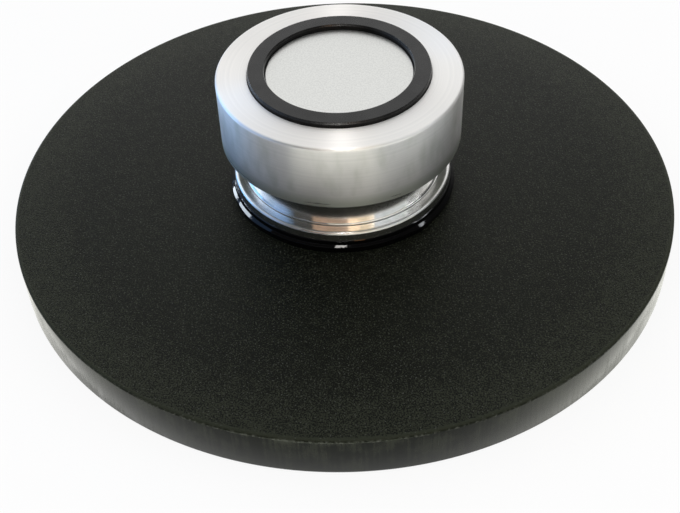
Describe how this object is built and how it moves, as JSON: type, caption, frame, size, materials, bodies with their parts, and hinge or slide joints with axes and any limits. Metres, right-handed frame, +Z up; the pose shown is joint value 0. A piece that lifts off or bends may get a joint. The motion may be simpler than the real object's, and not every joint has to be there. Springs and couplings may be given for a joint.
{
  "type": "record weight clamp",
  "caption": "Flat black label disc with a turned aluminium weight bonded on its centre; drops over a record player's spindle to press the record flat, and lifts by a finger groove.",
  "frame": {"origin": "centre of the flat underside that lies on the record's label", "axes": "+Z up along the spindle hole, the axis that every piece is turned about; X and Y lie in the label face and are interchangeable"},
  "size_m": [0.1, 0.1, 0.0275],
  "materials": {
    "disc_plastic": "fine-grained matt face, smoother turned edge",
    "turned_aluminium": "bare, fine turning marks",
    "black_adhesive": "glossy",
    "black_rubber": "satin",
    "badge_metal": "bead-blasted satin, bare"
  },
  "bodies": {
    "root": {"base_disc": "disc_plastic", "weight": "turned_aluminium", "adhesive_bead": "black_adhesive", "badge_ring": "black_rubber", "badge_plate": "badge_metal"}
  },
  "joints": []
}
